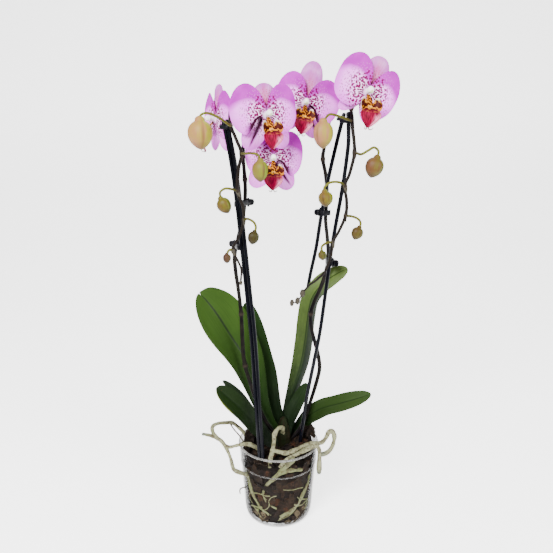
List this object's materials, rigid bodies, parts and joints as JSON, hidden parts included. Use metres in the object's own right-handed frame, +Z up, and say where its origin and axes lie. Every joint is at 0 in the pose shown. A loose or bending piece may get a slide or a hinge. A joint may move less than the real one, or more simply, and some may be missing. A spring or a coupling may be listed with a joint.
{
  "type": "potted moth orchid",
  "caption": "Moth orchid in a clear tapered nursery pot, with strap leaves, staked flower stems that arch over and hang down, spotted open blooms, buds and free air roots.",
  "frame": {"origin": "middle of the pot's flat base", "axes": "+Z up along the pot, -Y towards the side the blooms face, +X to the right as seen from that side"},
  "size_m": [0.2819, 0.1567, 0.6848],
  "materials": {
    "pot": "clear, slightly hazy plastic",
    "bark": "rough dark bark chips",
    "crown": "satin olive green",
    "leaf": "waxy green, darker at the edge and along the midrib",
    "stem": "satin dark olive brown with pale rings at the nodes",
    "stake": "glossy blue-black",
    "clip": "black, semi gloss",
    "bud": "satin yellow-green flushed with brown and rose",
    "petals": "soft lilac white with a magenta upper edge and crimson spots",
    "lip": "crimson with orange and dark spotted sides",
    "column": "soft white",
    "root": "matte silver green to cream"
  },
  "bodies": {
    "root": {"pot": "pot", "bark": "bark", "crown": "crown", "leaf_1": "leaf", "leaf_2": "leaf", "leaf_3": "leaf", "leaf_4": "leaf", "leaf_5": "leaf", "leaf_6": "leaf", "leaf_7": "leaf", "stake_left_front": "stake", "stake_left_back": "stake", "stake_right_back": "stake", "stake_right_front": "stake", "left_flower_stem": "stem", "right_flower_stem": "stem", "clip_left_top": "clip", "clip_left_middle": "clip", "clip_left_low": "clip", "clip_right_middle": "clip", "clip_right_low": "clip", "clip_right_top": "clip", "left_bud_1": "bud", "left_bud_2": "bud", "left_bud_3": "bud", "left_bud_4": "bud", "left_bud_5": "bud", "right_bud_1": "bud", "right_bud_2": "bud", "right_bud_3": "bud", "right_bud_4": "bud", "right_bud_5": "bud", "bloom_1_petals": "petals", "bloom_1_lip": "lip", "bloom_1_column": "column", "bloom_2_petals": "petals", "bloom_2_lip": "lip", "bloom_2_column": "column", "bloom_3_petals": "petals", "bloom_3_lip": "lip", "bloom_3_column": "column", "bloom_4_petals": "petals", "bloom_4_lip": "lip", "bloom_4_column": "column", "bloom_5_petals": "petals", "bloom_5_lip": "lip", "bloom_5_column": "column", "roots_left": "root", "roots_front": "root", "root_tip": "root", "inner_root_1": "root", "inner_root_2": "root", "inner_root_3": "root"}
  },
  "joints": []
}
